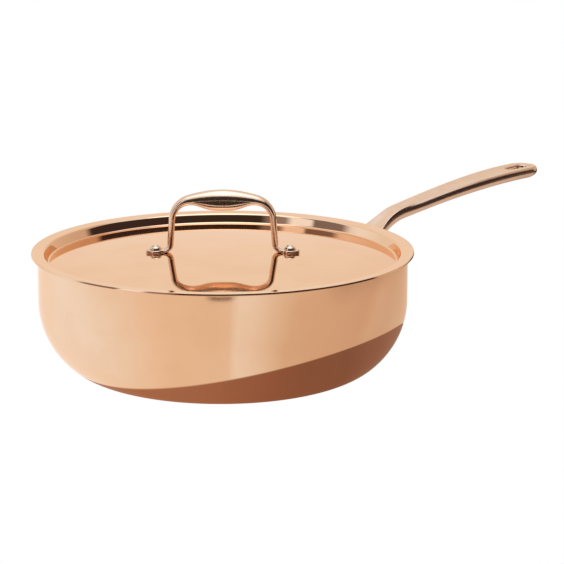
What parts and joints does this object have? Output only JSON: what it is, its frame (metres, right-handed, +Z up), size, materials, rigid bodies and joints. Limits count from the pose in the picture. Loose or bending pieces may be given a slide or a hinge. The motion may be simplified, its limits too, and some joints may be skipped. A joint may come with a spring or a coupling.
{
  "type": "lidded saute pan",
  "caption": "Round-bottomed polished copper saute pan with a long riveted handle and a loose domed copper lid with a riveted loop handle.",
  "frame": {"origin": "centre of the pan's flat base, on the pan's axis", "axes": "+Z up along the pan's axis, +X along the long handle towards its hanging slot"},
  "size_m": [0.47, 0.274, 0.1329],
  "materials": {
    "polished_copper": "mirror-polished copper, outside of the pan and of the lid",
    "lining_steel": "satin steel lining, finely brushed in circles",
    "cast_handle": "polished cast bronze, long handle and loop",
    "rivet_steel": "polished steel"
  },
  "bodies": {
    "pan": {"pan_copper_shell": "polished_copper", "pan_steel_lining": "lining_steel", "pan_handle": "cast_handle", "handle_rivet_upper_left": "rivet_steel", "handle_rivet_upper_right": "rivet_steel", "handle_rivet_lower": "rivet_steel"},
    "lid": {"lid_copper_shell": "polished_copper", "lid_steel_lining": "lining_steel", "lid_handle": "cast_handle", "lid_rivet_left": "rivet_steel", "lid_rivet_right": "rivet_steel"}
  },
  "joints": [
    {"name": "lid_lift", "type": "slide", "parent": "pan", "child": "lid", "axis": [0, 0, 1], "range_m": [0, 0.12]}
  ]
}
